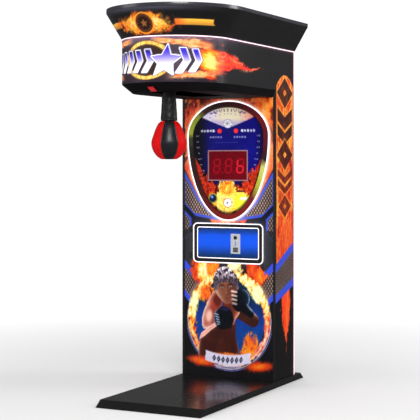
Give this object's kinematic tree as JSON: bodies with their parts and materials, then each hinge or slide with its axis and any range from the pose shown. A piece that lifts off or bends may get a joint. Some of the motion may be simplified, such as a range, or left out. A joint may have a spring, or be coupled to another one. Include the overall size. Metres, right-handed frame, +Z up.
{
  "type": "boxing punch machine",
  "caption": "Arcade punch-force machine: floor deck, lit column with score display and coin door, overhanging flared head and a swinging punch ball.",
  "frame": {"origin": "on the floor at the centre of the deck", "axes": "+X to the right seen by the player, +Y from the player towards the column, +Z up"},
  "size_m": [0.8, 1.4548, 2.187],
  "materials": {
    "deck_paint": "gloss",
    "frame_steel": "satin",
    "black_rubber": "matt",
    "zinc_steel": "satin",
    "printed_board": "vinyl faced",
    "black_plastic": "gloss",
    "black_sheet": "gloss",
    "light_tube": "diffused light",
    "printed_acrylic": "gloss",
    "window_trim": "gloss",
    "red_window": "gloss",
    "digit_red": "lit",
    "red_lens": "gloss",
    "white_plastic": "gloss",
    "blue_light": "lit",
    "circuit_board": "solder mask",
    "cable_jacket": "satin",
    "sleeve_leather": "satin",
    "ball_leather": "gloss",
    "foam": "open cell",
    "disc_plastic": "matt",
    "coil_yellow": "varnished"
  },
  "bodies": {
    "cabinet": {"base_deck": "deck_paint", "base_frame": "frame_steel", "base_pads": "black_rubber", "base_bolts": "zinc_steel", "column_frame": "frame_steel", "side_panel_left": "printed_board", "side_panel_right": "printed_board", "edge_trims": "black_plastic", "front_panel": "printed_board", "back_panel": "printed_board", "back_door_hinges": "black_sheet", "vent_grille": "black_sheet", "power_inlet": "black_plastic", "power_supply": "zinc_steel", "control_board": "circuit_board", "speakers": "black_sheet", "wiring_loom": "cable_jacket", "head_beams": "frame_steel", "marquee_shell": "black_sheet", "underside_pan": "black_plastic", "crown_shell": "black_sheet", "crown_lid": "black_sheet", "edge_led": "light_tube", "score_ring_led": "light_tube", "score_bezel": "black_plastic", "score_panel": "printed_acrylic", "display_frame": "window_trim", "display_window": "red_window", "digit_segments": "digit_red", "display_board": "circuit_board", "indicator_leds": "red_lens", "gauge_hubs": "white_plastic", "coin_door_hinge": "black_sheet", "coin_door_pin": "zinc_steel", "cash_box": "frame_steel", "start_bezel": "black_plastic", "start_switch": "black_plastic", "pivot_bearings": "frame_steel", "sensor_bracket": "frame_steel", "stop_bumpers": "black_rubber", "latch_solenoid": "coil_yellow"},
    "arm": {"pivot_shaft": "zinc_steel", "arm_lever": "frame_steel", "arm_sleeve": "sleeve_leather", "ball_core": "foam", "punch_ball": "ball_leather", "sensor_disc": "disc_plastic"},
    "plunger": {"latch_plunger": "zinc_steel"},
    "coin_door": {"door_tray": "black_plastic", "door_led_outer": "light_tube", "door_led_inner": "light_tube", "door_light_panel": "blue_light", "coin_plate": "zinc_steel", "coin_mech": "black_sheet"},
    "reject": {"reject_button": "black_plastic"},
    "flap": {"return_flap": "zinc_steel"},
    "start": {"start_button": "red_lens"},
    "back_door": {"back_door": "black_sheet"},
    "back_lock": {"back_door_lock": "zinc_steel"},
    "rocker": {"power_switch": "red_lens"}
  },
  "joints": [
    {"name": "arm_swing", "type": "hinge", "parent": "cabinet", "child": "arm", "pos_m": [0, -0.455, 1.8], "axis": [1, 0, 0], "range_deg": [-5, 88]},
    {"name": "latch_slide", "type": "slide", "parent": "cabinet", "child": "plunger", "axis": [-1, 0, 0], "range_m": [0, 0.015]},
    {"name": "coin_door_swing", "type": "hinge", "parent": "cabinet", "child": "coin_door", "pos_m": [-0.24, 0.2885, 0.85], "axis": [0, 0, -1], "range_deg": [0, 100]},
    {"name": "reject_press", "type": "slide", "parent": "coin_door", "child": "reject", "axis": [0, 1, 0], "range_m": [0, 0.004]},
    {"name": "return_flap_tilt", "type": "hinge", "parent": "coin_door", "child": "flap", "pos_m": [0.0535, 0.284, 0.824], "axis": [1, 0, 0], "range_deg": [0, 35]},
    {"name": "start_press", "type": "slide", "parent": "cabinet", "child": "start", "axis": [0, 0.4321, 0.9018], "range_m": [0, 0.003]},
    {"name": "back_door_swing", "type": "hinge", "parent": "cabinet", "child": "back_door", "pos_m": [-0.219, 0.589, 0.85], "axis": [0, 0, 1], "range_deg": [0, 110]},
    {"name": "back_lock_turn", "type": "hinge", "parent": "back_door", "child": "back_lock", "pos_m": [0.185, 0.58, 0.85], "axis": [0, 1, 0], "range_deg": [0, 90]},
    {"name": "power_rock", "type": "hinge", "parent": "cabinet", "child": "rocker", "pos_m": [-0.03, 0.585, 0.135], "axis": [1, 0, 0], "range_deg": [-8, 8]}
  ]
}
